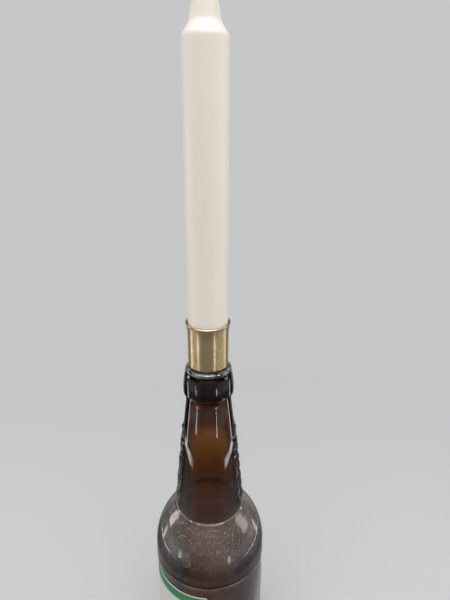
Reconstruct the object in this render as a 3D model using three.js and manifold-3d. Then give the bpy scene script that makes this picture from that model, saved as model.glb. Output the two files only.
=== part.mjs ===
// A candle holder made from a bottle: a turned brass cup stands in the mouth of a brown half-litre
// bottle on a rubber ring, its grooved spigot grips the bore with three rubber rings, and a white
// dinner candle stands in the cup. Millimetres, +Z up. The origin is the centre of the bottle's base.

import * as THREE from "three";
import { mergeVertices } from "three/addons/utils/BufferGeometryUtils.js";
import Module from "manifold-3d";

const wasm = await Module();
wasm.setup();

// Bottle body
const BOTTLE_HEIGHT = 260;
const BODY_RADIUS = 35;
const BODY_STRAIGHT_TOP = 132.4;
const DOME_RISE = 36.5;
const GLASS_WALL = 3.2;
const FLOOR_THICKNESS = 5;
const PUNT_RISE = 4;
const PUNT_FLAT_SHARE = 0.7;
const HEEL_RADIUS = 8;
const BEARING_WIDTH = 5;
const CONTACT_BAND = 6;
const PANEL_RECESS = 0.5;
const PANEL_STEP = 1.2;

// Crown finish: each radius is stepped out or in from the one before it
const BORE_RADIUS = 8.2;
const BORE_STRAIGHT = 16;
const LIP_WIDTH = 4.9;
const LIP_HEIGHT = 3.2;
const LIP_ROUND = 1.6;
const LIP_EDGE = 0.4;
const LIP_INNER_ROUND = 0.8;
const RECESS_DEPTH = 1;
const RECESS_HEIGHT = 0.8;
const COLLAR_PROUD = 1.35;
const COLLAR_HEIGHT = 11;
const COLLAR_SHOULDER = 1.55;
const COLLAR_BULGE_DROP = 2;
const COLLAR_ROUND = 1.5;
const COLLAR_UNDERCUT = 2;

// Bottle neck
const NECK_FOOT_RADIUS = 20.6;
const NECK_TOP_RADIUS = 12.9;
const NECK_TOP_BELOW_COLLAR = 10;
const NECK_BEND_RADIUS = 15;
const NECK_BEND_BELOW_TOP = 12.5;
const CREASE_FILLET = 2.4;

// Ribbed grip bands down both sides of the neck
const RIBS_TOP_DROP = 41;
const RIBS_FOOT_MARGIN = 4;
const RIB_PITCH = 4.5;
const RIB_HEIGHT = 0.8;
const RIB_BAR_RADIUS = 1.4;
const RIB_SWEEP_DEG = 64;
const RIB_STEPS = 6;
const RIB_SIDES = 6;

// Labels, whose turn is measured from the front of the bottle
const LABEL_THICKNESS = 0.25;
const LABEL_GAP = 0.1;
const LABEL_TURN_DEG = -70;
const FRONT_LABEL_DEG = 140;
const BACK_LABEL_DEG = 60;
const FRONT_LABEL_MARGIN = 6;
const BACK_LABEL_MARGIN = 13;
const LABEL_FACET_DEG = 5;

// Brass cup, sized by the candle it takes
const CUP_HEIGHT = 25.9;
const CUP_OVER_CANDLE = 0.5;
const CUP_TAPER = 0.2;
const CUP_WALL = 0.7;
const CUP_FLOOR = 2.2;
const CUP_FOOT_ROUND = 1.1;
const FLARE_HEIGHT = 6;
const FLARE_OUT = 1;
const FLARE_BEND_OUT_SHARE = 0.2;
const FLARE_BEND_DOWN_SHARE = 0.4;

// Spigot, sized by the bore it goes into, with its rubber and its screw
const SEAT_THICKNESS = 0.8;
const SEAT_INSET = 0.7;
const SPIGOT_CLEARANCE = 1.2;
const SPIGOT_TAIL = 6.2;
const SPIGOT_CHAMFER = 1.5;
const GRIP_NAMES = ["grip_ring_upper", "grip_ring_middle", "grip_ring_lower"];
const GRIP_SECTION = 2.4;
const GRIP_PITCH = 7.5;
const GRIP_FIRST_DROP = 5;
const GRIP_GAP = 0.25;
const FIT_GAP = 0.15;
const SCREW_RADIUS = 2;
const SCREW_LENGTH = 13;
const SCREW_POINT = 0.8;
const SCREW_HEAD_RADIUS = 3.8;
const SINK_LAND = 0.3;
const SLOT_WIDTH = 0.9;
const SLOT_DEPTH = 0.8;

// Candle
const CANDLE_RADIUS = 11;
const CANDLE_TAPER = 0.25;
const CANDLE_ABOVE_CUP = 135.7;
const CANDLE_GAP = 0.35;
const CANDLE_FOOT_CHAMFER = 0.8;
const BEVEL_HEIGHT = 5.1;
const BEVEL_ROUND = 1.2;
const TIP_BASE_RADIUS = 7.2;
const TIP_TOP_RADIUS = 3.2;
const TIP_HEIGHT = 25.5;
const TIP_ROUND = 1.9;
const WICK_RADIUS = 0.9;
const WICK_GAP = 0.3;
const WICK_OUT = 8;

// Facets round each turned piece, and steps along each curve of an outline
const GLASS_FACETS = 40;
const METAL_FACETS = 36;
const RING_FACETS = 24;
const WICK_FACETS = 12;
const CURVE_STEPS = 3;
const GRIP_STEPS = 4;

// Heights and radii that several pieces share
const panelTop = BODY_STRAIGHT_TOP - CONTACT_BAND - PANEL_STEP;
const panelFoot = HEEL_RADIUS + CONTACT_BAND + PANEL_STEP;
const panelRadius = BODY_RADIUS - PANEL_RECESS;
const mouthZ = BOTTLE_HEIGHT;
const lipRadius = BORE_RADIUS + LIP_WIDTH;
const collarTop = mouthZ - LIP_HEIGHT - RECESS_HEIGHT;
const collarFoot = collarTop - COLLAR_HEIGHT;
const cupZ = mouthZ + SEAT_THICKNESS;
const cupFloorZ = cupZ + CUP_FLOOR;
const rimZ = cupZ + CUP_HEIGHT;
const cupRadius = CANDLE_RADIUS + CUP_OVER_CANDLE;
const cupFootRadius = cupRadius - CUP_TAPER;
const spigotRadius = BORE_RADIUS - SPIGOT_CLEARANCE;
const screwHoleRadius = SCREW_RADIUS + FIT_GAP;
const screwHeadFoot = cupZ + SINK_LAND;

function material(color, roughness, metalness, opacity = 1) {
  const transparent = opacity < 1;
  return new THREE.MeshStandardMaterial({ color, roughness, metalness, opacity, transparent });
}

const amberGlass = material(0x3a1c0c, 0.06, 0, 0.85);
const greenPaper = material(0x2f9a5c, 0.8, 0);
const mauvePaper = material(0xd9b9c4, 0.8, 0);
const blackRubber = material(0x141414, 0.7, 0);
const brass = material(0xb59a62, 0.32, 1);
const steel = material(0x9a9a9c, 0.35, 1);
const wax = material(0xe9dfd3, 0.45, 0);
const cotton = material(0xf1ede4, 0.95, 0);

function named(name, geometry, look) {
  const mesh = new THREE.Mesh(geometry, look);
  mesh.name = name;
  return mesh;
}

// Revolves an outline, drawn as (radius, height), about the Z axis.
function turned(outline, facets, steps = CURVE_STEPS) {
  return new THREE.LatheGeometry(outline.getPoints(steps), facets).rotateX(Math.PI / 2);
}

function solidOf(geometry) {
  const bare = geometry.clone();
  bare.deleteAttribute("normal");
  bare.deleteAttribute("uv");
  const merged = mergeVertices(bare, 1e-4);
  const vertProperties = merged.getAttribute("position").array;
  const triVerts = new Uint32Array(merged.index.array);
  return new wasm.Manifold(new wasm.Mesh({ numProp: 3, vertProperties, triVerts }));
}

function geometryOf(solid) {
  const { vertProperties, triVerts } = solid.getMesh();
  const geometry = new THREE.BufferGeometry();
  geometry.setAttribute("position", new THREE.BufferAttribute(vertProperties, 3));
  geometry.setIndex(new THREE.BufferAttribute(triVerts, 1));
  geometry.computeVertexNormals();
  return geometry;
}

function pointTowards(from, to, distance) {
  return from.clone().add(to.clone().sub(from).setLength(distance));
}

// Rounds a corner of an outline, starting and ending the given distance from it.
function roundCorner(outline, corner, next, distance) {
  const before = pointTowards(corner, outline.currentPoint, distance);
  const after = pointTowards(corner, next, distance);
  outline.lineTo(before.x, before.y);
  outline.quadraticCurveTo(corner.x, corner.y, after.x, after.y);
}

// The dome of the shoulder is an ellipse in section. This is its point at a given radius.
function onDome(radius, reach, rise) {
  return new THREE.Vector2(radius, BODY_STRAIGHT_TOP + rise * Math.sqrt(1 - (radius / reach) ** 2));
}

// The curve of the neck from its foot on the dome to its top under the collar, set in by a thickness.
function neckCurve(thickness) {
  const foot = onDome(NECK_FOOT_RADIUS, BODY_RADIUS, DOME_RISE);
  const top = collarFoot - NECK_TOP_BELOW_COLLAR;
  return new THREE.QuadraticBezierCurve(
    new THREE.Vector2(foot.x - thickness, foot.y + CREASE_FILLET),
    new THREE.Vector2(NECK_BEND_RADIUS - thickness, top - NECK_BEND_BELOW_TOP),
    new THREE.Vector2(NECK_TOP_RADIUS - thickness, top),
  );
}

// Height grows steadily along the neck, so the place on its curve is found by halving.
function neckRadiusAt(curve, height) {
  let low = 0;
  let high = 1;
  while (high - low > 1e-6) {
    const middle = (low + high) / 2;
    if (curve.getPoint(middle).y < height) low = middle;
    else high = middle;
  }
  return curve.getPoint(low).x;
}

// Shallow punt, flat bearing ring and rounded heel.
function addBase(outline) {
  const bearingOuter = BODY_RADIUS - HEEL_RADIUS;
  const bearingInner = bearingOuter - BEARING_WIDTH;
  outline.moveTo(0, PUNT_RISE);
  outline.quadraticCurveTo(bearingInner * PUNT_FLAT_SHARE, PUNT_RISE, bearingInner, 0);
  outline.lineTo(bearingOuter, 0);
  outline.absarc(bearingOuter, HEEL_RADIUS, HEEL_RADIUS, -Math.PI / 2, 0, false);
}

// Two contact bands stand proud of the label panel, so that bottles rub on them and not on the paper.
function addPanel(outline) {
  outline.lineTo(BODY_RADIUS, panelFoot - PANEL_STEP);
  outline.lineTo(panelRadius, panelFoot);
  outline.lineTo(panelRadius, panelTop);
  outline.lineTo(BODY_RADIUS, panelTop + PANEL_STEP);
  outline.lineTo(BODY_RADIUS, BODY_STRAIGHT_TOP);
}

function addDomeAndNeck(outline) {
  const crease = onDome(NECK_FOOT_RADIUS, BODY_RADIUS, DOME_RISE);
  const domeEnd = Math.acos((NECK_FOOT_RADIUS + CREASE_FILLET) / BODY_RADIUS);
  const neck = neckCurve(0);
  outline.absellipse(0, BODY_STRAIGHT_TOP, BODY_RADIUS, DOME_RISE, 0, domeEnd, false);
  outline.quadraticCurveTo(crease.x, crease.y, neck.v0.x, neck.v0.y);
  outline.quadraticCurveTo(neck.v1.x, neck.v1.y, neck.v2.x, neck.v2.y);
}

// The tall convex collar, the dark recess above it and the round lip that a crown cap closes on.
function addFinish(outline) {
  const collarRadius = lipRadius + COLLAR_PROUD;
  const collarTopRadius = collarRadius - COLLAR_SHOULDER;
  const recessRadius = lipRadius - RECESS_DEPTH;
  const recessTop = mouthZ - LIP_HEIGHT;
  const underCollar = collarFoot - COLLAR_ROUND;
  outline.quadraticCurveTo(
    NECK_TOP_RADIUS,
    underCollar - COLLAR_UNDERCUT,
    collarRadius - COLLAR_ROUND,
    underCollar,
  );
  outline.quadraticCurveTo(collarRadius, underCollar, collarRadius, collarFoot);
  outline.quadraticCurveTo(collarRadius, collarTop - COLLAR_BULGE_DROP, collarTopRadius, collarTop);
  outline.lineTo(recessRadius, collarTop);
  outline.lineTo(recessRadius, recessTop);
  outline.lineTo(lipRadius - LIP_EDGE, recessTop);
  outline.lineTo(lipRadius, recessTop + LIP_EDGE);
  outline.lineTo(lipRadius, mouthZ - LIP_ROUND);
  outline.absarc(lipRadius - LIP_ROUND, mouthZ - LIP_ROUND, LIP_ROUND, 0, Math.PI / 2, false);
  outline.lineTo(BORE_RADIUS + LIP_INNER_ROUND, mouthZ);
  outline.quadraticCurveTo(BORE_RADIUS, mouthZ, BORE_RADIUS, mouthZ - LIP_INNER_ROUND);
}

// The inside follows the outside at the wall's thickness, with softer corners, as blown glass does.
function addInside(outline) {
  const innerRadius = BODY_RADIUS - GLASS_WALL;
  const innerRise = DOME_RISE - GLASS_WALL;
  const neck = neckCurve(GLASS_WALL);
  const fillet = 2 * CREASE_FILLET;
  const crease = onDome(neck.v0.x, innerRadius, innerRise);
  const domeStart = onDome(neck.v0.x + fillet, innerRadius, innerRise);
  const domeAngle = Math.acos(domeStart.x / innerRadius);
  const floorZ = PUNT_RISE + FLOOR_THICKNESS;
  const heelZ = FLOOR_THICKNESS + HEEL_RADIUS;
  const floorRadius = innerRadius - HEEL_RADIUS;
  outline.lineTo(BORE_RADIUS, mouthZ - BORE_STRAIGHT);
  outline.quadraticCurveTo(neck.v1.x, neck.v1.y, neck.v0.x, crease.y + fillet);
  outline.quadraticCurveTo(crease.x, crease.y, domeStart.x, domeStart.y);
  outline.absellipse(0, BODY_STRAIGHT_TOP, innerRadius, innerRise, domeAngle, 0, true);
  outline.lineTo(innerRadius, heelZ);
  outline.absarc(floorRadius, heelZ, HEEL_RADIUS, 0, -Math.PI / 2, true);
  outline.quadraticCurveTo(floorRadius * PUNT_FLAT_SHARE, floorZ, 0, floorZ);
}

// The middle line of one raised rib. It follows the neck, and its ends dive under the glass.
class RibPath extends THREE.Curve {
  constructor(neck, height, middle) {
    super();
    this.height = height;
    this.middle = middle;
    this.crown = neckRadiusAt(neck, height) + RIB_HEIGHT - RIB_BAR_RADIUS;
  }

  getPoint(t, target = new THREE.Vector3()) {
    const dive = 2 * RIB_HEIGHT * Math.abs(2 * t - 1) ** 6;
    const angle = this.middle + THREE.MathUtils.degToRad(RIB_SWEEP_DEG) * (t - 0.5);
    const radius = this.crown - dive;
    return target.set(radius * Math.cos(angle), radius * Math.sin(angle), this.height);
  }
}

function rib(neck, height, middle) {
  const section = new THREE.Shape().absarc(0, 0, RIB_BAR_RADIUS, 0, 2 * Math.PI, false);
  return new THREE.ExtrudeGeometry(section, {
    extrudePath: new RibPath(neck, height, middle),
    steps: RIB_STEPS,
    curveSegments: RIB_SIDES / 2,
    bevelEnabled: false,
  });
}

function bottle() {
  const outline = new THREE.Path();
  addBase(outline);
  addPanel(outline);
  addDomeAndNeck(outline);
  addFinish(outline);
  addInside(outline);
  let glass = solidOf(turned(outline, GLASS_FACETS));
  const neck = neckCurve(0);
  const lowestRib = neck.v0.y + RIBS_FOOT_MARGIN;
  for (let height = mouthZ - RIBS_TOP_DROP; height > lowestRib; height -= RIB_PITCH) {
    for (const side of [0, Math.PI]) glass = glass.add(solidOf(rib(neck, height, side)));
  }
  return named("bottle", geometryOf(glass), amberGlass);
}

// A thin sheet bent round the label panel.
function label(name, turnDeg, widthDeg, margin, look) {
  const inner = panelRadius + LABEL_GAP;
  const outer = inner + LABEL_THICKNESS;
  const half = THREE.MathUtils.degToRad(widthDeg / 2);
  const middle = THREE.MathUtils.degToRad(turnDeg - 90);
  const sheet = new THREE.Shape();
  sheet.absarc(0, 0, outer, middle - half, middle + half, false);
  sheet.absarc(0, 0, inner, middle + half, middle - half, true);
  const paper = new THREE.ExtrudeGeometry(sheet, {
    depth: panelTop - panelFoot - 2 * margin,
    curveSegments: Math.ceil(widthDeg / LABEL_FACET_DEG),
    bevelEnabled: false,
  });
  const mesh = named(name, paper, look);
  mesh.position.z = panelFoot + margin;
  return mesh;
}

// Flat ring on the lip, on which the cup stands.
function seatRing() {
  const inner = spigotRadius + FIT_GAP;
  const outer = lipRadius - LIP_ROUND - SEAT_INSET;
  const outline = new THREE.Path();
  outline.moveTo(inner, mouthZ);
  outline.lineTo(outer, mouthZ);
  outline.lineTo(outer, cupZ);
  outline.lineTo(inner, cupZ);
  outline.closePath();
  return named("seat_ring", turned(outline, METAL_FACETS), blackRubber);
}

// Thin-walled cup: rounded foot, slight taper, flared and rounded rim, countersunk hole in its floor.
function candleCup() {
  const flareZ = rimZ - FLARE_HEIGHT;
  const bendZ = rimZ - FLARE_HEIGHT * FLARE_BEND_DOWN_SHARE;
  const bendRadius = cupRadius + FLARE_OUT * FLARE_BEND_OUT_SHARE;
  const rimRadius = cupRadius + FLARE_OUT;
  const rimRound = CUP_WALL / 2;
  const footCentre = cupFootRadius - CUP_FOOT_ROUND;
  const outline = new THREE.Path();
  outline.moveTo(screwHoleRadius, cupZ);
  outline.lineTo(footCentre, cupZ);
  outline.absarc(footCentre, cupZ + CUP_FOOT_ROUND, CUP_FOOT_ROUND, -Math.PI / 2, 0, false);
  outline.lineTo(cupRadius, flareZ);
  outline.quadraticCurveTo(bendRadius, bendZ, rimRadius, rimZ - rimRound);
  outline.absarc(rimRadius - rimRound, rimZ - rimRound, rimRound, 0, Math.PI, false);
  outline.quadraticCurveTo(bendRadius - CUP_WALL, bendZ, cupRadius - CUP_WALL, flareZ);
  outline.lineTo(cupFootRadius - CUP_WALL, cupFloorZ);
  outline.lineTo(SCREW_HEAD_RADIUS + FIT_GAP, cupFloorZ);
  outline.lineTo(screwHoleRadius, screwHeadFoot);
  outline.closePath();
  return named("candle_cup", turned(outline, METAL_FACETS), brass);
}

const gripHeights = GRIP_NAMES.map((name, i) => mouthZ - GRIP_FIRST_DROP - i * GRIP_PITCH);
const gripRadius = BORE_RADIUS - GRIP_GAP - GRIP_SECTION / 2;
const grooveRadius = gripRadius - GRIP_SECTION / 2 - FIT_GAP;
const grooveHalf = GRIP_SECTION / 2 + FIT_GAP;

// Stem that hangs under the cup: a tapped hole down from its top and a groove for each grip ring.
function spigot() {
  const foot = gripHeights.at(-1) - SPIGOT_TAIL;
  const holeFoot = cupFloorZ - SCREW_LENGTH - FIT_GAP;
  const outline = new THREE.Path();
  outline.moveTo(0, foot);
  outline.lineTo(spigotRadius - SPIGOT_CHAMFER, foot);
  outline.lineTo(spigotRadius, foot + SPIGOT_CHAMFER);
  for (const height of gripHeights.toReversed()) {
    outline.lineTo(spigotRadius, height - grooveHalf);
    outline.lineTo(grooveRadius, height - grooveHalf);
    outline.lineTo(grooveRadius, height + grooveHalf);
    outline.lineTo(spigotRadius, height + grooveHalf);
  }
  outline.lineTo(spigotRadius, cupZ);
  outline.lineTo(screwHoleRadius, cupZ);
  outline.lineTo(screwHoleRadius, holeFoot);
  outline.lineTo(0, holeFoot);
  return named("spigot", turned(outline, RING_FACETS), brass);
}

function gripRing(name, height) {
  const outline = new THREE.Path();
  outline.absarc(gripRadius, height, GRIP_SECTION / 2, 0, 2 * Math.PI, false);
  return named(name, turned(outline, RING_FACETS, GRIP_STEPS), blackRubber);
}

// Slotted countersunk screw that joins the cup's floor to the spigot.
function cupScrew() {
  const headTop = cupFloorZ - FIT_GAP;
  const foot = cupFloorZ - SCREW_LENGTH;
  const outline = new THREE.Path();
  outline.moveTo(0, foot);
  outline.lineTo(SCREW_RADIUS - SCREW_POINT, foot);
  outline.lineTo(SCREW_RADIUS, foot + SCREW_POINT);
  outline.lineTo(SCREW_RADIUS, screwHeadFoot);
  outline.lineTo(SCREW_HEAD_RADIUS, headTop);
  outline.lineTo(0, headTop);
  const slot = new THREE.BoxGeometry(3 * SCREW_HEAD_RADIUS, SLOT_WIDTH, 2 * SLOT_DEPTH);
  slot.translate(0, 0, headTop);
  const cut = solidOf(turned(outline, RING_FACETS)).subtract(solidOf(slot));
  return named("cup_screw", geometryOf(cut), steel);
}

// Dinner candle: foot pared to fit the cup, long shaft, bevelled shoulder and a slender crown tip.
function candleWax() {
  const bore = WICK_RADIUS + WICK_GAP;
  const footRadius = cupFootRadius - CUP_WALL - CANDLE_GAP;
  const shoulder = new THREE.Vector2(CANDLE_RADIUS - CANDLE_TAPER, rimZ + CANDLE_ABOVE_CUP);
  const tipBase = new THREE.Vector2(TIP_BASE_RADIUS, shoulder.y + BEVEL_HEIGHT);
  const tipTop = new THREE.Vector2(TIP_TOP_RADIUS, tipBase.y + TIP_HEIGHT);
  const boreTop = new THREE.Vector2(bore, tipTop.y);
  const outline = new THREE.Path();
  outline.moveTo(bore, cupFloorZ);
  outline.lineTo(footRadius - CANDLE_FOOT_CHAMFER, cupFloorZ);
  outline.lineTo(footRadius, cupFloorZ + CANDLE_FOOT_CHAMFER);
  outline.lineTo(footRadius, rimZ - FLARE_HEIGHT);
  outline.lineTo(CANDLE_RADIUS, rimZ);
  roundCorner(outline, shoulder, tipBase, BEVEL_ROUND);
  roundCorner(outline, tipBase, tipTop, BEVEL_ROUND);
  roundCorner(outline, tipTop, boreTop, TIP_ROUND);
  outline.closePath();
  return named("candle_wax", turned(outline, METAL_FACETS), wax);
}

function wick() {
  const foot = cupFloorZ + FIT_GAP;
  const top = rimZ + CANDLE_ABOVE_CUP + BEVEL_HEIGHT + TIP_HEIGHT + WICK_OUT;
  const cord = new THREE.CylinderGeometry(WICK_RADIUS, WICK_RADIUS, top - foot, WICK_FACETS);
  const mesh = named("wick", cord.rotateX(Math.PI / 2), cotton);
  mesh.position.z = (foot + top) / 2;
  return mesh;
}

const glassware = new THREE.Group();
glassware.add(
  bottle(),
  label("front_label", LABEL_TURN_DEG, FRONT_LABEL_DEG, FRONT_LABEL_MARGIN, greenPaper),
  label("back_label", LABEL_TURN_DEG + 180, BACK_LABEL_DEG, BACK_LABEL_MARGIN, mauvePaper),
);

const cupStopper = new THREE.Group();
cupStopper.add(seatRing(), candleCup(), spigot(), cupScrew());
GRIP_NAMES.forEach((name, i) => cupStopper.add(gripRing(name, gripHeights[i])));

const candle = new THREE.Group();
candle.add(candleWax(), wick());

const candleHolder = new THREE.Group();
candleHolder.add(glassware, cupStopper, candle);

export default candleHolder;
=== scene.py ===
"""The looks of the bottle candle holder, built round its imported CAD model.

The scene is in metres with +Z up, and -Y is the side the photograph shows. The profiles below are
drawn in millimetres as (radius, height) and scaled when they are turned into meshes.
"""

import math

import bmesh
import bpy
import numpy as np
from mathutils import Matrix, Vector

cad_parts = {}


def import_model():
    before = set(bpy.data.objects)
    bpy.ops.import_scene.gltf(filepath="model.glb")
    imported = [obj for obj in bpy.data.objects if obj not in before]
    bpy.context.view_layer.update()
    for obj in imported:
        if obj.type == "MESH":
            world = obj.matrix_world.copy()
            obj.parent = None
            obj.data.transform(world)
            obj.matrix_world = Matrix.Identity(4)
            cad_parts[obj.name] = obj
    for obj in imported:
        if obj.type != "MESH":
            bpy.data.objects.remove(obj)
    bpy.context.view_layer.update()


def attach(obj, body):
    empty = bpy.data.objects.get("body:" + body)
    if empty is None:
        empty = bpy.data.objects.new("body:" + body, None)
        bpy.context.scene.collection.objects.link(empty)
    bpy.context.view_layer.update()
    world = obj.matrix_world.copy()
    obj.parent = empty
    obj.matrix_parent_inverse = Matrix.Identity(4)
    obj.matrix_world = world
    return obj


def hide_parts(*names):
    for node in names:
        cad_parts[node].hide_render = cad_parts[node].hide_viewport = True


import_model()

MM = 0.001

# Bottle
BOTTLE_HEIGHT = 260
BODY_RADIUS = 35
BODY_STRAIGHT_TOP = 132.4
SHOULDER_RADIUS = BODY_RADIUS - 0.2
SHOULDER_BEVEL = 0.75
DOME_RISE = 36.5
GLASS_WALL = 3.9
FLOOR_THICKNESS = 5
PUNT_RISE = 4
HEEL_RADIUS = 8
BEARING_OUTER = BODY_RADIUS - HEEL_RADIUS
BEARING_INNER = BEARING_OUTER - 5
BEARING_ROUND = 0.3
PANEL_RADIUS = BODY_RADIUS - 0.5
PANEL_STEP = 1.2
PANEL_FOOT = 15.2
PANEL_TOP = 125.2
BORE_RADIUS = 8.2
BORE_ROUND = 0.8
BORE_FOOT = BOTTLE_HEIGHT - 16
LIP_RADIUS = 13.1
LIP_ROUND = 1.8
LIP_EDGE = 0.4
RECESS_RADIUS = 12.1
RECESS_TOP = BOTTLE_HEIGHT - 2.3
RECESS_ROUND = 0.3
COLLAR_RADIUS = 14.45
COLLAR_SHOULDER = 1.55
COLLAR_BULGE_DROP = 2
COLLAR_TOP = RECESS_TOP - 0.8
COLLAR_FOOT = BOTTLE_HEIGHT - 15.8
COLLAR_UNDERSIDE = COLLAR_FOOT - 1.2
UNDERCUT_RADIUS = 12.9
UNDERCUT_ROUND = (0.35, 0.4)
NECK_FOOT_RADIUS = 20.6
NECK_FOOT_WALL = 4.4
NECK_BEND = (15, 222.5)
NECK_BEND_WALL = 1
NECK_TOP = (13.4, 235)
NECK_TOP_RISE = 5
CREASE_FILLET = 2.4
INNER_CREASE = 6.5

# Ribs down both sides of the neck
RIB_TOP = BOTTLE_HEIGHT - 41
RIB_COUNT = 12
RIB_PITCH = 4.5
RIB_HEIGHT = 1.1
RIB_BAR_RADIUS = 1.4
RIB_SWEEP = math.radians(64)
RIB_DIP = 0.28 * RIB_HEIGHT
RIB_BUMPS = 22
RIB_BUMP_SHIFT = 2.2
RIB_SOFTNESS = 0.12
RIB_SINK = 0.03

# Widest gaps between the rings of the bottle's mesh
RIB_GAP = 0.46
OUTER_GAP = 5
INNER_GAP = 4.5

# Unevenness of the inner wall: size, waves round the bottle, height over which the phase grows by 1,
# and phase. It dies out towards the bore and towards the middle of the floor.
INNER_WAVES = ((0.10, 3, 13, 0), (0.08, 2, -21, 1.3), (0.05, 5, 7, 0.6))
WAVE_SET_IN = 0.1
WAVE_TOP = 236
WAVE_FADE_HEIGHT = 12
WAVE_FADE_RADIUS = 20

# Dust on the glass, dusty lines in the two creases that double as painted highlights, and a painted highlight
# on the lip, as heights in metres
DUST_STARTS = (0.129, 0.152)
DUST_THINS = (0.1595, 0.1640)
DUST_ENDS = (0.165, 0.205)
NECK_DUST = 0.24
# Heights of the dusty lines in the crease and on the panel step, which double as painted highlight lines
CREASE_LINE = 0.1627
PANEL_LINE = 0.1269
LINE_EDGE = (0.0002, 0.0011)
PANEL_LINE_NARROWER = 0.0005
# Heights of a patchy bluish-white band round the top of the lip, a painted highlight
LIP_PAINTED_HIGHLIGHT = (0.2578, 0.2588)

# Labels: turn of each edge round the bottle from the front, in degrees, and height
FRONT_LABEL = (-140, 0, 21.2, 119.2)
BACK_LABEL = (80, 140, 28.2, 112.2)
LABEL_INNER = PANEL_RADIUS + 0.1
LABEL_OUTER = LABEL_INNER + 0.25
LABEL_CORNER = 2.5
LABEL_CELL = (1.2, 1.4)
GREEN = (0.033, 0.24, 0.085, 1)
PALE = (0.60, 0.60, 0.575, 1)
DARK_PINK = (0.62, 0.42, 0.48, 1)
PINK = (0.66, 0.52, 0.55, 1)

# Cup, stem and their rubber
SEAT_TOP = BOTTLE_HEIGHT + 0.8
SEAT_RADIUS = LIP_RADIUS - 2.3
CUP_HEIGHT = 25.9
RIM_Z = SEAT_TOP + CUP_HEIGHT
CUP_RADIUS = 11.5
CUP_FOOT_RADIUS = 11.3
CUP_FOOT_ROUND = 1.1
CUP_WALL = 0.7
CUP_FLOOR_Z = SEAT_TOP + 2.2
FLARE_HEIGHT = 6
FLARE_BEND = 0.2
FLARE_WIDTH = 1
STEM_RADIUS = 7
STEM_TAIL = 6.2
STEM_CHAMFER = 1.5
GRIP_HEIGHTS = (BOTTLE_HEIGHT - 5, BOTTLE_HEIGHT - 12.5, BOTTLE_HEIGHT - 20)
GRIP_SECTION = 2.4
GRIP_RADIUS = 6.75
GROOVE_RADIUS = 5.4
SCREW_RADIUS = 2
SCREW_HEAD_RADIUS = 3.8
SCREW_CHAMFER = 0.8
SCREW_LENGTH = 13
SLOT_HALF = (SCREW_HEAD_RADIUS * 1.5, 0.45, 0.8)
CLEARANCE = 0.15

# Candle
CANDLE_RADIUS = 11
CANDLE_FOOT_RADIUS = CUP_FOOT_RADIUS - CUP_WALL - 0.35
CANDLE_CHAMFER = 0.8
SHOULDER = (10.75, RIM_Z + 135.7)
TIP_BASE = (7.2, SHOULDER[1] + 5.1)
TIP_TOP = (3.2, TIP_BASE[1] + 25.5)
WICK_RADIUS = 0.9
WICK_TOP = TIP_TOP[1] + 8
STRANDS = 3
STRAND_RADIUS = 0.47
STRAND_SIDES = 8
STRAND_PITCH = 5
STRAND_GAP = 0.5

# Studio, in metres
BACKGROUND = (0.56, 0.57, 0.58, 1)
FLAG_TONE = 0.10
SIDE_TONE = 0.12
FRONT_TONE = 0.12
# How bright the floor is in reflections towards the camera's side and to the sides; the darker side of the
# camera is a painted shadow
FLOOR_FRONT_TONE = 0.42
FLOOR_SIDE_TONE = 0.9
WORLD_LIGHT = 0.50
FLOOR_RINGS = (0.0001, 0.1, 0.3, 0.6, 1.2, 2.5, 6.0)
LAMP_AIM = Vector((0, 0, 0.26))
CAMERA_AT = (0.0092, -0.2246, 0.3848)
CAMERA_PITCH = math.radians(20.9)
CAMERA_ROLL = math.radians(0.3)
CAMERA_SENSOR = 36
CAMERA_FOCAL_SHARE = 450.7 / 600


class Outline:
    """A profile as a list of (radius, height) points in millimetres."""

    def __init__(self, r, z):
        self.points = [(r, z)]

    def line(self, r, z):
        self.points.append((r, z))

    def curve(self, r1, z1, r2, z2, steps):
        """A quadratic curve to the second point, with the first as its control point."""
        r0, z0 = self.points[-1]
        for i in range(1, steps + 1):
            t = i / steps
            a, b, c = (1 - t) ** 2, 2 * t * (1 - t), t * t
            self.points.append((a * r0 + b * r1 + c * r2, a * z0 + b * z1 + c * z2))

    def ease(self, r, z, steps=10):
        """An S-shaped step to the given point."""
        r0, z0 = self.points[-1]
        for i in range(1, steps + 1):
            t = i / steps
            s = t * t * (3 - 2 * t)
            self.points.append((r0 + (r - r0) * s, z0 + (z - z0) * t))

    def arc(self, r, z, width, rise, start, end, steps):
        """Part of an ellipse round the given centre, between two angles in degrees."""
        for i in range(steps + 1):
            a = math.radians(start + (end - start) * i / steps)
            self.points.append((r + width * math.cos(a), z + rise * math.sin(a)))

    def corner(self, r, z, to_r, to_z, size, steps=5):
        """A rounded corner at a point, on the way to the next one."""
        r0, z0 = self.points[-1]
        back = math.hypot(r0 - r, z0 - z)
        on = math.hypot(to_r - r, to_z - z)
        self.line(r + (r0 - r) * size / back, z + (z0 - z) * size / back)
        self.curve(r, z, r + (to_r - r) * size / on, z + (to_z - z) * size / on, steps)


def spaced(points, gap):
    """Adds points so that no two neighbours are further apart than gap(height)."""
    result = [points[0]]
    for r, z in points[1:]:
        r0, z0 = result[-1]
        length = math.hypot(r - r0, z - z0)
        if length < 1e-6:
            continue
        count = max(1, math.ceil(length / gap((z + z0) / 2)))
        for i in range(1, count + 1):
            result.append((r0 + (r - r0) * i / count, z0 + (z - z0) * i / count))
    return result


def linked(name, data):
    obj = bpy.data.objects.new(name, data)
    bpy.context.collection.objects.link(obj)
    return obj


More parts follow.
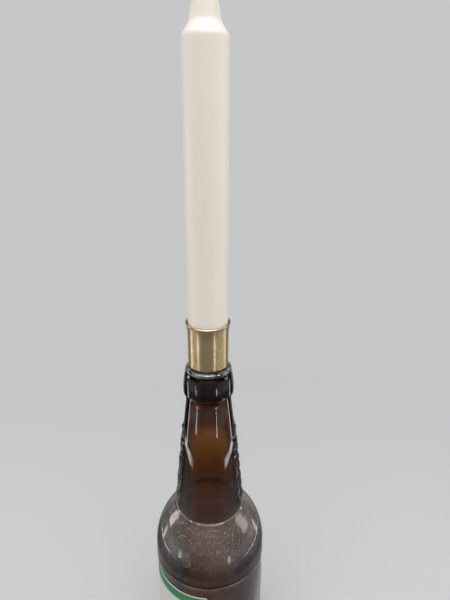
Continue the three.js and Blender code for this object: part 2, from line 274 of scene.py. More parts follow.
def object_from(name, verts, faces):
    """A smooth-shaded object from points in millimetres."""
    mesh = bpy.data.meshes.new(name)
    mesh.from_pydata([tuple(v) for v in np.asarray(verts) * MM], [], faces)
    shape = bmesh.new()
    shape.from_mesh(mesh)
    bmesh.ops.recalc_face_normals(shape, faces=shape.faces)
    for face in shape.faces:
        face.smooth = True
    shape.to_mesh(mesh)
    shape.free()
    mesh.set_sharp_from_angle(angle=math.radians(50))
    return linked(name, mesh)


def turned(name, points, segments, shift=None, closed=False):
    """Revolves a profile about the Z axis. shift(index, angles, r, z) may move each ring's radii."""
    angles = np.arange(segments) * 2 * math.pi / segments
    verts = []
    rings = []
    for index, (r, z) in enumerate(points):
        start = len(verts)
        if r < 1e-6:
            verts.append((0, 0, z))
            rings.append([start] * segments)
            continue
        radii = np.full(segments, float(r))
        if shift:
            radii = radii + shift(index, angles, r, z)
        verts += list(zip(radii * np.cos(angles), radii * np.sin(angles), np.full(segments, z)))
        rings.append(list(range(start, start + segments)))
    if closed:
        rings.append(rings[0])
    faces = []
    for low, high in zip(rings, rings[1:]):
        for i in range(segments):
            j = (i + 1) % segments
            face = [low[i], low[j], high[j], high[i]]
            faces.append([v for k, v in enumerate(face) if v != face[k - 1]])
    return object_from(name, verts, faces)


# Materials


class Nodes:
    """Short ways to add nodes to a tree. A value is a number, a colour or the output of a node."""

    def __init__(self, tree):
        self.tree = tree

    def node(self, kind, **inputs):
        node = self.tree.nodes.new("ShaderNode" + kind)
        for key, value in inputs.items():
            if hasattr(node, key):
                setattr(node, key, value)
            else:
                self.feed(node.inputs[key.replace("_", " ")], value)
        return node

    def feed(self, socket, value):
        if hasattr(value, "is_output"):
            self.tree.links.new(value, socket)
        else:
            socket.default_value = value

    def fed(self, node, first, values):
        """Feeds a node's inputs from the given index on."""
        for i, value in enumerate(values):
            self.feed(node.inputs[first + i], value)
        return node

    def math(self, operation, *values):
        return self.fed(self.node("Math", operation=operation), 0, values).outputs[0]

    def times(self, a, b):
        return self.math("MULTIPLY", a, b)

    def plus(self, a, b):
        return self.math("ADD", a, b)

    def minus(self, a, b):
        return self.math("SUBTRACT", a, b)

    def scaled(self, value, factor, base):
        """The value times the factor, plus the base."""
        return self.math("MULTIPLY_ADD", value, factor, base)

    def largest(self, *values):
        result = values[0]
        for value in values[1:]:
            result = self.math("MAXIMUM", result, value)
        return result

    def size(self, value):
        return self.math("ABSOLUTE", value)

    def vector(self, operation, *values):
        return self.fed(self.node("VectorMath", operation=operation), 0, values).outputs

    def parts(self, vector):
        return self.node("SeparateXYZ", Vector=vector).outputs

    def colour(self, factor, a, b):
        return self.fed(self.fed(self.node("Mix", data_type="RGBA"), 0, [factor]), 6, (a, b)).outputs[2]

    def blend(self, factor, a, b):
        return self.fed(self.fed(self.node("Mix", data_type="FLOAT"), 0, [factor]), 2, (a, b)).outputs[0]

    def shaders(self, factor, a, b):
        return self.fed(self.node("MixShader"), 0, (factor, a, b)).outputs[0]

    def ramp(self, value, low, high, out_low=0.0, out_high=1.0):
        node = self.node("MapRange", interpolation_type="SMOOTHSTEP")
        return self.fed(node, 0, (value, low, high, out_low, out_high)).outputs[0]

    def point(self, scale=(1, 1, 1)):
        """The point on the object, in metres, with each axis scaled."""
        mapping = self.node("Mapping")
        self.feed(mapping.inputs["Vector"], self.node("TexCoord").outputs["Object"])
        self.feed(mapping.inputs["Scale"], scale)
        return mapping.outputs[0]

    def noise(self, scale, detail, stretch=(1, 1, 1), roughness=0.5):
        node = self.node("TexNoise", Scale=scale, Detail=detail, Roughness=roughness)
        self.feed(node.inputs["Vector"], self.point(stretch))
        return node.outputs["Fac"]


class Look(Nodes):
    """A material with one Principled shader."""

    def __init__(self, name, **values):
        self.material = bpy.data.materials.new(name)
        self.material.use_nodes = True
        super().__init__(self.material.node_tree)
        self.shader = self.tree.nodes["Principled BSDF"]
        self.output = self.tree.nodes["Material Output"]
        for key, value in values.items():
            self.shader.inputs[key.replace("_", " ")].default_value = value

    def set(self, name, value):
        self.feed(self.shader.inputs[name], value)

    def surface(self, shader):
        self.feed(self.output.inputs["Surface"], shader)

    def bump(self, height, distance):
        node = self.node("Bump", Distance=distance)
        self.feed(node.inputs["Height"], height)
        self.set("Normal", node.outputs[0])


def glass_dust_and_painted_highlights(look):
    """Dust specks, a thin dusty film, a painted highlight on the lip, and dusty lines in the two creases that
    double as painted highlight lines.
    """
    height = look.parts(look.point())[2]
    on_neck = look.ramp(height, *DUST_THINS, 1.0, NECK_DUST)
    on_neck = look.times(on_neck, look.ramp(height, *DUST_ENDS, 1.0, 0.0))
    band = look.times(look.ramp(height, *DUST_STARTS), on_neck)
    grains = look.node("TexVoronoi", Scale=900.0, Vector=look.point()).outputs
    size = look.ramp(look.parts(grains["Color"])[0], 0.2, 1.0, 0.06, 0.36)
    specks = look.times(look.ramp(look.minus(grains["Distance"], size), -0.08, 0.04, 1.0, 0.0), band)
    film = look.times(look.ramp(look.noise(35, 5.0), 0.30, 0.70, 0.34, 0.86), band)
    # A patchy band round the top of the lip, painted as a highlight: it turns the glass there bluish white
    painted_lip_highlight = look.times(look.ramp(height, *LIP_PAINTED_HIGHLIGHT), look.ramp(look.noise(220, 3.0), 0.40, 0.65, 0.03, 0.17))
    # Dusty lines along the crease and the panel step, which also paint thin highlight lines there
    from_crease = look.size(look.minus(height, CREASE_LINE))
    from_panel = look.plus(look.size(look.minus(height, PANEL_LINE)), PANEL_LINE_NARROWER)
    lines = look.ramp(look.math("MINIMUM", from_crease, from_panel), *LINE_EDGE, 1.0, 0.0)
    crease_dust_and_painted_highlight = look.times(lines, look.ramp(look.noise(90, 2.0), 0.35, 0.65, 0.08, 0.30))
    return specks, film, painted_lip_highlight, crease_dust_and_painted_highlight


def brown_glass():
    """Amber glass: the colour is in its depth. Dust lies on the shoulder, and it isn't quite even."""
    look = Look("brown_glass", IOR=1.52, Coat_Roughness=0.35)
    specks, film, painted_lip_highlight, crease_dust_and_painted_highlight = glass_dust_and_painted_highlights(look)
    # The specks, the film, the lip's painted highlight and the crease lines, which double as painted
    # highlights, all let less light through
    dust_and_painted_highlights = look.plus(look.scaled(specks, 0.27, look.scaled(film, 0.09, painted_lip_highlight)), crease_dust_and_painted_highlight)
    soiled = look.colour(look.largest(specks, film), (1, 1, 1, 1), (0.80, 0.69, 0.58, 1))
    # The lip's painted highlight is bluish white
    look.set("Base Color", look.colour(painted_lip_highlight, soiled, (0.80, 0.82, 0.88, 1)))
    look.set("Transmission Weight", look.minus(1.0, dust_and_painted_highlights))
    look.set("Roughness", look.scaled(film, 0.15, 0.012))
    look.set("Coat Weight", look.times(film, 0.75))
    look.set("Sheen Weight", look.times(film, 0.25))
    look.bump(look.noise(55, 1.0), 0.00012)
    depth = look.node("VolumeAbsorption", Color=(0.6375, 0.425, 0.125, 1), Density=800.0)
    look.feed(look.output.inputs["Volume"], depth.outputs[0])
    in_shadow = look.node("LightPath").outputs["Is Shadow Ray"]
    clear = look.node("BsdfTransparent").outputs[0]
    look.surface(look.shaders(in_shadow, look.shader.outputs[0], clear))
    return look.material


def sheet_distance(look, width, height, corner):
    """Distance in millimetres from a point on a label to its edge, from UVs in metres."""
    uv = look.parts(look.node("UVMap").outputs[0])
    beyond = []
    for place_on, length in ((uv[0], width), (uv[1], height)):
        from_middle = look.size(look.minus(look.times(place_on, 1000), length / 2))
        beyond.append(look.minus(from_middle, length / 2 - corner))
    squares = [look.math("POWER", look.largest(q, 0), 2) for q in beyond]
    outside = look.math("SQRT", look.plus(*squares))
    inside = look.math("MINIMUM", look.largest(*beyond), 0)
    return look.minus(corner, look.plus(outside, inside))


def paper(name, width, height, ink, ink_width, ink_inset, stock):
    """Label paper with a printed border of the given width, set in from the edge."""
    look = Look(
        name,
        Specular_IOR_Level=0.35,
        Subsurface_Weight=0.35,
        Subsurface_Radius=(1.0, 1.0, 1.0),
        Subsurface_Scale=0.0006,
    )
    depth = sheet_distance(look, width, height, LABEL_CORNER)
    fibre = look.noise(1400, 3.0)
    cloud = look.noise(45, 4.0)
    starts = look.ramp(depth, ink_inset - 0.12, ink_inset + 0.12)
    ends = look.ramp(depth, ink_inset + ink_width - 0.15, ink_inset + ink_width + 0.15, 1.0, 0.0)
    aged = look.colour(look.times(cloud, 0.35), stock, (0.56, 0.52, 0.47, 1))
    dark_ink = [c * 0.72 for c in ink[:3]] + [1]
    printed = look.colour(look.times(cloud, 0.5), ink, dark_ink)
    look.set("Base Color", look.colour(look.times(starts, ends), aged, printed))
    look.set("Roughness", look.scaled(fibre, 0.2, 0.42))
    look.bump(fibre, 0.00003)
    return look.material


def grained(look, grain, tones, roughness, depth):
    """Colour, roughness and bump that all follow one fine grain."""
    look.set("Base Color", look.colour(grain, *tones))
    look.set("Roughness", look.scaled(grain, *roughness))
    look.bump(grain, depth)
    return look.material


def rubber():
    look = Look("black_rubber", Specular_IOR_Level=0.35)
    tones = (0.012, 0.012, 0.013, 1), (0.03, 0.029, 0.028, 1)
    return grained(look, look.noise(2500, 3.0), tones, (0.3, 0.42), 0.00004)


def steel():
    look = Look("screw_steel", Metallic=1.0)
    tones = (0.62, 0.62, 0.60, 1), (0.45, 0.45, 0.44, 1)
    return grained(look, look.noise(1200, 3.0), tones, (0.2, 0.22), 0.00002)


def cotton():
    look = Look("cotton", Sheen_Weight=0.3)
    tones = (0.82, 0.79, 0.72, 1), (0.66, 0.62, 0.54, 1)
    return grained(look, look.noise(3000, 3.0, (1, 1, 0.3)), tones, (0.2, 0.7), 0.00006)


def brass():
    """Turned brass: fine marks run round the axis, so highlights stretch along it."""
    look = Look("turned_brass", Metallic=1.0, Anisotropic=0.75, Anisotropic_Rotation=0.25)
    marks = look.noise(1.0, 4.0, (12, 12, 4200), 0.65)
    tarnish = look.noise(150, 5.0)
    tone = look.colour(look.ramp(tarnish, 0.3, 0.8), (0.78, 0.61, 0.36, 1), (0.60, 0.46, 0.25, 1))
    look.set("Base Color", look.colour(look.times(marks, 0.35), tone, (0.45, 0.33, 0.18, 1)))
    look.set("Roughness", look.scaled(marks, 0.16, look.scaled(tarnish, 0.12, 0.16)))
    look.bump(marks, 0.00002)
    look.set("Tangent", look.node("Tangent", direction_type="RADIAL", axis="Z").outputs[0])
    return look.material


def wax():
    """Candle wax: light goes a little way in, and the drawn surface has a faint unevenness."""
    look = Look(
        "candle_wax",
        Subsurface_Weight=0.6,
        Subsurface_Radius=(1.0, 0.72, 0.5),
        Subsurface_Scale=0.004,
        Specular_IOR_Level=0.4,
    )
    cloud = look.noise(40, 3.0, (1, 1, 0.25))
    grain = look.noise(600, 3.0)
    look.set("Base Color", look.colour(cloud, (0.84, 0.785, 0.71, 1), (0.78, 0.71, 0.635, 1)))
    look.set("Roughness", look.scaled(grain, 0.15, 0.36))
    look.bump(look.scaled(cloud, 6.0, grain), 0.00005)
    return look.material


def place(obj, body, node, material):
    obj.data.materials.append(material)
    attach(obj, body)
    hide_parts(node)


# Bottle


def dome_point(radius, reach, rise):
    return radius, BODY_STRAIGHT_TOP + rise * math.sqrt(1 - (radius / reach) ** 2)


def bottle_outside():
    """From the middle of the punt round the foot, up the outside and over the lip into the bore."""
    crease = dome_point(NECK_FOOT_RADIUS, SHOULDER_RADIUS, DOME_RISE)
    dome_end = math.degrees(math.acos((NECK_FOOT_RADIUS + CREASE_FILLET) / SHOULDER_RADIUS))
    line = Outline(0, PUNT_RISE)
    line.curve(BEARING_INNER * 0.7, PUNT_RISE, BEARING_INNER - 0.4, 0.06, 12)
    line.corner(BEARING_INNER, 0, BEARING_OUTER, 0, BEARING_ROUND)
    line.arc(BEARING_OUTER, HEEL_RADIUS, HEEL_RADIUS, HEEL_RADIUS, -90, 0, 14)
    line.line(BODY_RADIUS, PANEL_FOOT - PANEL_STEP)
    line.ease(PANEL_RADIUS, PANEL_FOOT)
    line.line(PANEL_RADIUS, PANEL_TOP)
    line.ease(BODY_RADIUS, PANEL_TOP + PANEL_STEP)
    line.line(SHOULDER_RADIUS, PANEL_TOP + PANEL_STEP + SHOULDER_BEVEL)
    line.arc(0, BODY_STRAIGHT_TOP, SHOULDER_RADIUS, DOME_RISE, 0, dome_end, 32)
    line.curve(*crease, NECK_FOOT_RADIUS, crease[1] + CREASE_FILLET, 9)
    line.curve(*NECK_BEND, *NECK_TOP, 24)
    undercut_z = COLLAR_UNDERSIDE - UNDERCUT_ROUND[1]
    line.curve(UNDERCUT_RADIUS, NECK_TOP[1] + NECK_TOP_RISE, UNDERCUT_RADIUS, undercut_z, 6)
    line.curve(UNDERCUT_RADIUS, COLLAR_UNDERSIDE, UNDERCUT_RADIUS + UNDERCUT_ROUND[0], COLLAR_UNDERSIDE, 4)
    line.curve(COLLAR_RADIUS, COLLAR_UNDERSIDE, COLLAR_RADIUS, COLLAR_FOOT, 8)
    bulge_z = COLLAR_TOP - COLLAR_BULGE_DROP
    line.curve(COLLAR_RADIUS, bulge_z, COLLAR_RADIUS - COLLAR_SHOULDER, COLLAR_TOP, 10)
    line.corner(RECESS_RADIUS, COLLAR_TOP, RECESS_RADIUS, RECESS_TOP, RECESS_ROUND)
    line.corner(RECESS_RADIUS, RECESS_TOP, LIP_RADIUS, RECESS_TOP, RECESS_ROUND)
    line.curve(LIP_RADIUS, RECESS_TOP, LIP_RADIUS, RECESS_TOP + LIP_EDGE, 4)
    line.arc(LIP_RADIUS - LIP_ROUND, BOTTLE_HEIGHT - LIP_ROUND, LIP_ROUND, LIP_ROUND, 0, 90, 10)
    line.line(BORE_RADIUS + BORE_ROUND, BOTTLE_HEIGHT)
    line.curve(BORE_RADIUS, BOTTLE_HEIGHT, BORE_RADIUS, BOTTLE_HEIGHT - BORE_ROUND, 5)
    return line.points


def bottle_inside():
    """From the foot of the bore down the inner wall to the middle of the floor."""
    radius = BODY_RADIUS - GLASS_WALL
    rise = DOME_RISE - GLASS_WALL
    foot = NECK_FOOT_RADIUS - NECK_FOOT_WALL
    crease = dome_point(foot, radius, rise)
    dome_start = dome_point(foot + INNER_CREASE, radius, rise)
    dome_angle = math.degrees(math.acos(dome_start[0] / radius))
    floor_radius = radius - HEEL_RADIUS
    floor_z = PUNT_RISE + FLOOR_THICKNESS
    heel_z = FLOOR_THICKNESS + HEEL_RADIUS
    line = Outline(BORE_RADIUS, BORE_FOOT)
    line.curve(NECK_BEND[0] - NECK_BEND_WALL, NECK_BEND[1], foot, crease[1] + INNER_CREASE, 20)
    line.curve(*crease, *dome_start, 10)
    line.arc(0, BODY_STRAIGHT_TOP, radius, rise, dome_angle, 0, 24)
    line.line(radius, heel_z)
    line.arc(floor_radius, heel_z, HEEL_RADIUS, HEEL_RADIUS, 0, -90, 10)
    line.curve(floor_radius * 0.7, floor_z, 0, floor_z, 10)
    return line.points


def rib_lift(angles, z):
    """How far the ribs stand out of the neck on one ring of the bottle."""
    lift = np.zeros(len(angles))
    step = round((RIB_TOP - z) / RIB_PITCH)
    drop = abs(z - (RIB_TOP - step * RIB_PITCH))
    if not 0 <= step < RIB_COUNT or drop >= RIB_BAR_RADIUS:
        return lift
    crown = math.sqrt(RIB_BAR_RADIUS**2 - drop**2) - (RIB_BAR_RADIUS - RIB_HEIGHT)
    for side in (0, math.pi):
        turn = np.abs((angles - side + math.pi) % (2 * math.pi) - math.pi)
        share = np.clip(turn / (RIB_SWEEP / 2), 0, 1)
        bumps = 1 - np.cos(RIB_BUMPS * turn / RIB_SWEEP + RIB_BUMP_SHIFT * step)
        raised = crown - 2 * RIB_HEIGHT * share**6 - RIB_DIP * bumps
        rounded = 0.5 * (raised + np.sqrt(raised**2 + RIB_SOFTNESS**2))
        lift = np.maximum(lift, np.where(turn <= RIB_SWEEP / 2, rounded, 0))
    return np.maximum(lift - RIB_SINK, 0)


def wall_shift(angles, r, z):
    """The slight unevenness of the inner wall."""
    calm = min(1, max(0, (WAVE_TOP - z) / WAVE_FADE_HEIGHT)) * min(1, r / WAVE_FADE_RADIUS)
    wave = sum(size * np.sin(count * angles + z / climb + phase) for size, count, climb, phase in INNER_WAVES)
    return calm * (wave - WAVE_SET_IN)


def bottle():
    def gap(z):
        return RIB_GAP if RIB_TOP - RIB_COUNT * RIB_PITCH < z < RIB_TOP + 2 else OUTER_GAP

    outside = spaced(bottle_outside(), gap)
    inside = spaced(bottle_inside(), lambda z: INNER_GAP)

    def shift(index, angles, r, z):
        return rib_lift(angles, z) if index < len(outside) else wall_shift(angles, r, z)

    obj = turned("bottle_glass", outside + inside, 224, shift)
    place(obj, "glassware", "bottle", brown_glass())


# Labels


def squared_in(u, v, width, height):
    """Pulls the points near a label's corners in, onto its rounded corners."""
    x, y = u - width / 2, v - height / 2
    ax, ay = abs(x) - (width / 2 - LABEL_CORNER), abs(y) - (height / 2 - LABEL_CORNER)
    if ax > 0 and ay > 0:
        reach = max(ax, ay)
        length = math.hypot(ax, ay)
        ax, ay = ax * reach / length, ay * reach / length
        x = math.copysign(width / 2 - LABEL_CORNER + ax, x)
        y = math.copysign(height / 2 - LABEL_CORNER + ay, y)
    return x + width / 2, y + height / 2


def label(name, node, slot, sheet, *print_on):
    """A thin sheet bent round the bottle, with rounded corners, in a fine grid. UVs are in metres."""
    left, right, foot, top = sheet
    width = math.radians(right - left) * LABEL_OUTER
    height = top - foot
    columns, rows = round(width / LABEL_CELL[0]), round(height / LABEL_CELL[1])
    verts, faces, uvs = [], [], []
    for radius in (LABEL_OUTER, LABEL_INNER):
        for j in range(rows + 1):
            for i in range(columns + 1):
                u, v = squared_in(width * i / columns, height * j / rows, width, height)
                angle = math.radians(left - 90) + u / LABEL_OUTER
                verts.append((radius * math.cos(angle), radius * math.sin(angle), foot + v))
                uvs.append((u * MM, v * MM))
    base = (rows + 1) * (columns + 1)

    def at(side, i, j):
        return side * base + j * (columns + 1) + i

    for j in range(rows):
        for i in range(columns):
            faces.append([at(0, i, j), at(0, i + 1, j), at(0, i + 1, j + 1), at(0, i, j + 1)])
            faces.append([at(1, i, j + 1), at(1, i + 1, j + 1), at(1, i + 1, j), at(1, i, j)])
    for i in range(columns):
        faces.append([at(0, i + 1, 0), at(0, i, 0), at(1, i, 0), at(1, i + 1, 0)])
        faces.append([at(0, i, rows), at(0, i + 1, rows), at(1, i + 1, rows), at(1, i, rows)])
    for j in range(rows):
        faces.append([at(0, 0, j), at(0, 0, j + 1), at(1, 0, j + 1), at(1, 0, j)])
        faces.append([at(0, columns, j + 1), at(0, columns, j), at(1, columns, j), at(1, columns, j + 1)])
    obj = object_from(name, verts, faces)
    layer = obj.data.uv_layers.new(name="sheet")
    for loop in obj.data.loops:
        layer.data[loop.index].uv = uvs[loop.vertex_index]
    place(obj, "glassware", node, paper(slot, width, height, *print_on))


# Cup, stem, rings and screw


def seat_ring():
    inner = STEM_RADIUS + CLEARANCE
    line = Outline(inner, BOTTLE_HEIGHT + 0.3)
    line.corner(inner, BOTTLE_HEIGHT, SEAT_RADIUS, BOTTLE_HEIGHT, 0.15)
    line.corner(SEAT_RADIUS, BOTTLE_HEIGHT, SEAT_RADIUS, SEAT_TOP, 0.2)
    line.corner(SEAT_RADIUS, SEAT_TOP, inner, SEAT_TOP, 0.2)
    line.corner(inner, SEAT_TOP, inner, BOTTLE_HEIGHT, 0.15)
    obj = turned("rubber_seat", line.points, 128, closed=True)
    place(obj, "cup_stopper", "seat_ring", RUBBER)


def candle_cup():
    flare_z = RIM_Z - FLARE_HEIGHT
    bend_z = RIM_Z - FLARE_HEIGHT * 0.4
    bend = CUP_RADIUS + FLARE_BEND
    rim = CUP_RADIUS + FLARE_WIDTH
    half = CUP_WALL / 2
    foot = CUP_FOOT_RADIUS - CUP_FOOT_ROUND
    hole = SCREW_RADIUS + CLEARANCE
    sink = SCREW_HEAD_RADIUS + CLEARANCE
    line = Outline(hole, SEAT_TOP)
    line.line(foot, SEAT_TOP)
    line.arc(foot, SEAT_TOP + CUP_FOOT_ROUND, CUP_FOOT_ROUND, CUP_FOOT_ROUND, -90, 0, 12)
    line.line(CUP_RADIUS, flare_z)
    line.curve(bend, bend_z, rim, RIM_Z - half, 16)
    line.arc(rim - half, RIM_Z - half, half, half, 0, 180, 12)
    line.curve(bend - CUP_WALL, bend_z, CUP_RADIUS - CUP_WALL, flare_z, 16)
    line.corner(CUP_FOOT_RADIUS - CUP_WALL, CUP_FLOOR_Z, sink, CUP_FLOOR_Z, 0.5)
    line.line(sink, CUP_FLOOR_Z)
    line.line(hole, SEAT_TOP + 0.3)
    obj = turned("brass_cup", spaced(line.points, lambda z: 1.5), 192, closed=True)
    place(obj, "cup_stopper", "candle_cup", BRASS)


def stem():
    foot = GRIP_HEIGHTS[-1] - STEM_TAIL
    chamfer_z = foot + STEM_CHAMFER
    half = GRIP_SECTION / 2 + CLEARANCE
    hole = SCREW_RADIUS + CLEARANCE
    hole_foot = CUP_FLOOR_Z - SCREW_LENGTH - CLEARANCE
    line = Outline(0, foot)
    line.corner(STEM_RADIUS - STEM_CHAMFER, foot, STEM_RADIUS, chamfer_z, 0.4)
    line.corner(STEM_RADIUS, chamfer_z, STEM_RADIUS, foot + 4, 0.4)
    for z in reversed(GRIP_HEIGHTS):
        line.corner(STEM_RADIUS, z - half, GROOVE_RADIUS, z - half, 0.15)
        line.corner(GROOVE_RADIUS, z - half, GROOVE_RADIUS, z + half, 0.15)
        line.corner(GROOVE_RADIUS, z + half, STEM_RADIUS, z + half, 0.15)
        line.corner(STEM_RADIUS, z + half, STEM_RADIUS, z + half + 1, 0.15)
    line.line(STEM_RADIUS, SEAT_TOP)
    line.line(hole, SEAT_TOP)
    line.line(hole, hole_foot)
    line.line(0, hole_foot)
    obj = turned("brass_stem", spaced(line.points, lambda z: 1.5), 128)
    place(obj, "cup_stopper", "spigot", BRASS)


def grip_ring(z, node):
    half = GRIP_SECTION / 2
    line = Outline(GRIP_RADIUS + half, z)
    line.arc(GRIP_RADIUS, z, half, half, 15, 345, 22)
    obj = turned("rubber_" + node, line.points, 96, closed=True)
    place(obj, "cup_stopper", node, RUBBER)


def cup_screw():
    """A countersunk screw. Its slot is cut out of the turned shape."""
    top = CUP_FLOOR_Z - CLEARANCE
    foot = CUP_FLOOR_Z - SCREW_LENGTH
    line = Outline(0, foot)
    line.line(SCREW_RADIUS - SCREW_CHAMFER, foot)
    line.line(SCREW_RADIUS, foot + SCREW_CHAMFER)
    line.line(SCREW_RADIUS, SEAT_TOP + 0.3)
    line.corner(SCREW_HEAD_RADIUS, top, 0, top, 0.12)
    line.line(0, top)
    obj = turned("slotted_screw", line.points, 64)
    half = Vector(SLOT_HALF) * MM
    mesh = bpy.data.meshes.new("slot")
    shape = bmesh.new()
    at = Matrix.Translation((0, 0, top * MM)) @ Matrix.Diagonal((*half, 1))
    bmesh.ops.create_cube(shape, size=2, matrix=at)
    shape.to_mesh(mesh)
    shape.free()
    cutter = linked("slot", mesh)
    cut = obj.modifiers.new("slot", "BOOLEAN")
    cut.object = cutter
    cut.solver = "EXACT"
    bpy.context.view_layer.update()
    done = bpy.data.meshes.new_from_object(obj.evaluated_get(bpy.context.evaluated_depsgraph_get()))
    obj.modifiers.clear()
    obj.data = done
    done.set_sharp_from_angle(angle=math.radians(30))
    bpy.data.objects.remove(cutter)
    place(obj, "cup_stopper", "cup_screw", steel())


# Candle


def candle():
    foot = CANDLE_FOOT_RADIUS
    flare_z = RIM_Z - FLARE_HEIGHT
    bore = WICK_RADIUS + 0.05
    line = Outline(bore, CUP_FLOOR_Z)
    line.line(foot - CANDLE_CHAMFER, CUP_FLOOR_Z)
    line.corner(foot, CUP_FLOOR_Z + CANDLE_CHAMFER, foot, flare_z, 0.4)
    line.corner(foot, flare_z, CANDLE_RADIUS, RIM_Z, 2.0)
    line.corner(CANDLE_RADIUS, RIM_Z, *SHOULDER, 2.0)
    line.corner(*SHOULDER, *TIP_BASE, 1.2, 10)
    line.corner(*TIP_BASE, *TIP_TOP, 1.6, 10)
    line.corner(*TIP_TOP, bore, TIP_TOP[1], 1.9, 10)
    line.line(bore, TIP_TOP[1])
    obj = turned("wax_candle", spaced(line.points, lambda z: 2.0), 160, closed=True)
    place(obj, "candle", "candle_wax", wax())


def wick():
    """Twisted strands, each a tube round a helix."""
    foot = CUP_FLOOR_Z + CLEARANCE
    reach = WICK_RADIUS - STRAND_RADIUS
    climb = STRAND_PITCH / (2 * math.pi)
    sides = STRAND_SIDES
    count = round((WICK_TOP - foot) / STRAND_GAP)
    verts, faces = [], []
    for s in range(STRANDS):
        base = len(verts)
        for i in range(count + 1):
            z = foot + (WICK_TOP - foot) * i / count
            turn = 2 * math.pi * (z / STRAND_PITCH + s / STRANDS)
            slope = Vector((-math.sin(turn) * reach, math.cos(turn) * reach, climb)).normalized()
            out = Vector((math.cos(turn), math.sin(turn), 0))
            side = slope.cross(out)
            for k in range(sides):
                a = 2 * math.pi * k / sides
                point = out * (reach + STRAND_RADIUS * math.cos(a)) + side * STRAND_RADIUS * math.sin(a)
                verts.append((point.x, point.y, min(max(z + point.z, foot), WICK_TOP)))
        for i in range(count):
            for k in range(sides):
                a, b = base + i * sides + k, base + i * sides + (k + 1) % sides
                faces.append([a, b, b + sides, a + sides])
        faces.append([base + k for k in reversed(range(sides))])
        faces.append([base + count * sides + k for k in range(sides)])
    obj = object_from("twisted_wick", verts, faces)
    place(obj, "candle", "wick", cotton())


RUBBER = rubber()
BRASS = brass()
bottle()
label("paper_front", "front_label", "front_paper", FRONT_LABEL, GREEN, 7.0, 0.7, PALE)
label("paper_back", "back_label", "back_paper", BACK_LABEL, DARK_PINK, 3.0, 0.0, PINK)
seat_ring()
candle_cup()
stem()
for ring_z, ring_node in zip(GRIP_HEIGHTS, ("grip_ring_upper", "grip_ring_middle", "grip_ring_lower")):
    grip_ring(ring_z, ring_node)
cup_screw()
candle()
wick()


# Stage, light and camera


def studio(nodes, direction, front_tone, side_tone, back):
    """The studio as the camera, metal and glass see it, and 1 for the rays that see it so.

    The camera sees the plain background. Glass shows it too, between darker flags at the corners of
    the studio, and what reflects in glass and metal falls off towards the side of the camera.
    """
    path = nodes.node("LightPath").outputs
    flat = nodes.vector("MULTIPLY", direction, (1, 1, 0))[0]
    across, ahead, _ = nodes.parts(nodes.vector("NORMALIZE", flat)[0])
    widest = nodes.largest(nodes.size(across), nodes.size(ahead))
    through = nodes.ramp(widest, 0.84, 0.93, FLAG_TONE, 1.0)
    mirrored = nodes.ramp(ahead, -0.88, -0.66, front_tone, side_tone)
    mirrored = nodes.ramp(ahead, 0.15, 0.45, mirrored, SIDE_TONE)
    mirrored = nodes.ramp(ahead, *back, mirrored, 1.0)
    tone = nodes.blend(path["Is Transmission Ray"], mirrored, through)
    plain = nodes.blend(path["Is Camera Ray"], tone, 1.0)
    seen = nodes.largest(path["Is Camera Ray"], path["Is Glossy Ray"], path["Is Transmission Ray"])
    return plain, seen, path


def floor():
    """A pale floor that keeps the shadow near the object and runs into the background further out.

    Seen through glass it lies in rings of different tone, painted shade and painted light, which give the
    glass its bands. In reflections it is darker near the object and towards the camera's side, a painted
    shadow.
    """
    mesh = bpy.data.meshes.new("floor")
    count = 64
    shape = bmesh.new()
    last = None
    for r in FLOOR_RINGS:
        turns = np.arange(count) * 2 * math.pi / count
        ring = [shape.verts.new((r * math.cos(a), r * math.sin(a), 0)) for a in turns]
        if last:
            for i in range(count):
                shape.faces.new((last[i - 1], ring[i - 1], ring[i], last[i]))
        else:
            shape.faces.new(ring)
        last = ring
    shape.to_mesh(mesh)
    shape.free()
    obj = linked("floor", mesh)
    look = Look("floor", Roughness=0.9, Specular_IOR_Level=0.0)
    look.set("Base Color", look.colour(look.noise(300, 4.0), (0.55, 0.555, 0.56, 1), (0.59, 0.59, 0.59, 1)))
    point = look.point()
    distance = look.vector("LENGTH", point)["Value"]
    tone, seen, path = studio(look, point, FLOOR_FRONT_TONE, FLOOR_SIDE_TONE, (0.62, 0.80))
    by_camera = path["Is Camera Ray"]
    far = look.blend(by_camera, look.ramp(distance, 0.06, 0.2), look.ramp(distance, 0.12, 0.6))
    # Through glass the floor's glow is painted shade: dimmer close to the object, and in a darker ring from
    # about 0.27 m to 0.52 m out
    bright = look.ramp(distance, 0.12, 0.26, 0.45, 1.15)
    dark = look.ramp(distance, 0.27, 0.325, 0.0, 0.80)
    through = look.plus(look.minus(bright, dark), look.ramp(distance, 0.42, 0.52, 0.0, 0.65))
    # As glass and metal mirror it, the floor is dimmer within about 0.47 m of the object: a painted shadow
    mirrored = look.ramp(distance, 0.44, 0.50, 0.3, 1.0)
    level = look.largest(by_camera, look.blend(path["Is Transmission Ray"], mirrored, through))
    glow = look.node("Emission", Color=BACKGROUND, Strength=look.times(tone, level))
    look.surface(look.shaders(look.times(far, seen), look.shader.outputs[0], glow.outputs[0]))
    obj.data.materials.append(look.material)


def world():
    """Even light on the object, with the studio in place of it for the rays that show it."""
    sky = bpy.data.worlds.new("studio")
    bpy.context.scene.world = sky
    sky.use_nodes = True
    nodes = Nodes(sky.node_tree)
    light = sky.node_tree.nodes["Background"]
    light.inputs["Color"].default_value = (1, 1, 1, 1)
    light.inputs["Strength"].default_value = WORLD_LIGHT
    direction = nodes.node("TexCoord").outputs["Generated"]
    tone, seen, _ = studio(nodes, direction, FRONT_TONE, SIDE_TONE, (0.35, 0.60))
    shown = nodes.node("Background", Color=BACKGROUND, Strength=tone)
    mixed = nodes.shaders(seen, light.outputs[0], shown.outputs[0])
    nodes.feed(sky.node_tree.nodes["World Output"].inputs["Surface"], mixed)


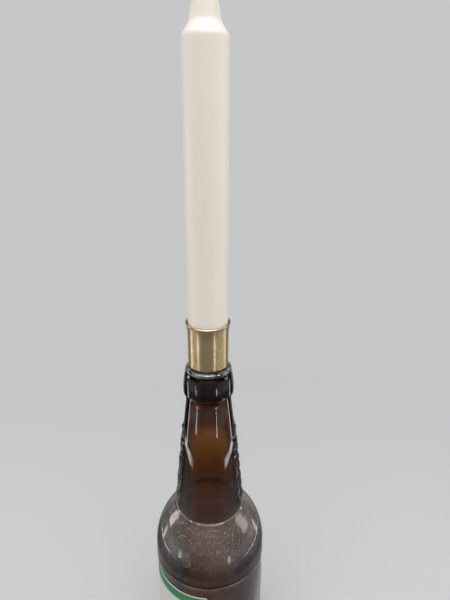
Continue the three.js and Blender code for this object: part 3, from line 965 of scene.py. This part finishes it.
def lamp(name, azimuth, elevation, distance, width, height, radiance, mirrored_only=False):
    """A soft panel. Azimuth 0 is on the camera's side and grows to the right."""
    a, e = math.radians(azimuth), math.radians(elevation)
    away = Vector((math.sin(a) * math.cos(e), -math.cos(a) * math.cos(e), math.sin(e)))
    data = bpy.data.lights.new(name, "AREA")
    data.shape = "RECTANGLE"
    data.size, data.size_y = width, height
    data.energy = radiance * math.pi * width * height
    obj = linked(name, data)
    obj.location = LAMP_AIM + away * distance
    obj.rotation_euler = away.to_track_quat("Z", "Y").to_euler()
    obj.visible_camera = False
    obj.visible_diffuse = not mirrored_only


def light_ring(radius, height, radiance):
    """A thin ring of light on the floor round the object, which the glass and metal mirror.

    It is bright at the left and right, and weak in front and behind.
    """
    count = 96
    turns = np.arange(count) * 2 * math.pi / count
    verts = [(radius * math.cos(a), radius * math.sin(a), z) for z in (0.001, height) for a in turns]
    faces = [(i, (i + 1) % count, count + (i + 1) % count, count + i) for i in range(count)]
    mesh = bpy.data.meshes.new("light_ring")
    mesh.from_pydata(verts, [], faces)
    obj = linked("light_ring", mesh)
    look = Look("light_ring")
    across = look.size(look.parts(look.point())[0])
    strength = look.ramp(across, radius * 0.84, radius * 0.97, radiance * 0.04, radiance)
    streaks = look.ramp(look.noise(28, 3.0), 0.38, 0.62, 0.5, 1.0)
    glow = look.node("Emission", Color=(1, 1, 1, 1), Strength=look.times(strength, streaks))
    look.surface(glow.outputs[0])
    obj.data.materials.append(look.material)
    obj.visible_camera = False
    obj.visible_diffuse = False
    obj.visible_shadow = False
    obj.visible_transmission = False


def camera():
    """The photograph's view: a phone held close and looking down."""
    ahead = Vector((0, math.cos(CAMERA_PITCH), -math.sin(CAMERA_PITCH)))
    up = Vector((0, math.sin(CAMERA_PITCH), math.cos(CAMERA_PITCH)))
    right = Vector((1, 0, 0))
    across = right * math.cos(CAMERA_ROLL) + up * math.sin(CAMERA_ROLL)
    above = up * math.cos(CAMERA_ROLL) - right * math.sin(CAMERA_ROLL)
    data = bpy.data.cameras.new("camera")
    data.sensor_fit = "VERTICAL"
    data.sensor_height = CAMERA_SENSOR
    data.lens = CAMERA_SENSOR * CAMERA_FOCAL_SHARE
    data.clip_start = 0.01
    obj = linked("camera", data)
    axes = Matrix((across, above, -ahead)).transposed().to_4x4()
    obj.matrix_world = Matrix.Translation(CAMERA_AT) @ axes
    bpy.context.scene.camera = obj


floor()
world()
light_ring(0.335, 0.014, 5.5)
lamp("overhead", 0, 72, 1.2, 1.00, 0.55, 6.0)
lamp("glint", 0, 78, 1.2, 1.90, 0.35, 11.0, mirrored_only=True)
lamp("side_left", -104, 4, 0.8, 0.22, 0.32, 5.5)
lamp("side_right", 92, 12, 0.8, 0.30, 0.45, 3.3)
lamp("strip_left", -55, -24, 0.52, 0.045, 0.11, 5.0, mirrored_only=True)
lamp("strip_right", 37, -24, 0.52, 0.035, 0.11, 5.5, mirrored_only=True)
lamp("low_left", -102, -28, 0.44, 0.04, 0.12, 3.5, mirrored_only=True)
lamp("low_right", 112, -28, 0.44, 0.04, 0.12, 3.5, mirrored_only=True)
lamp("front_panel", 0, 22, 1.3, 2.2, 1.2, 0.34)
camera()
bpy.context.scene.view_settings.view_transform = "Standard"
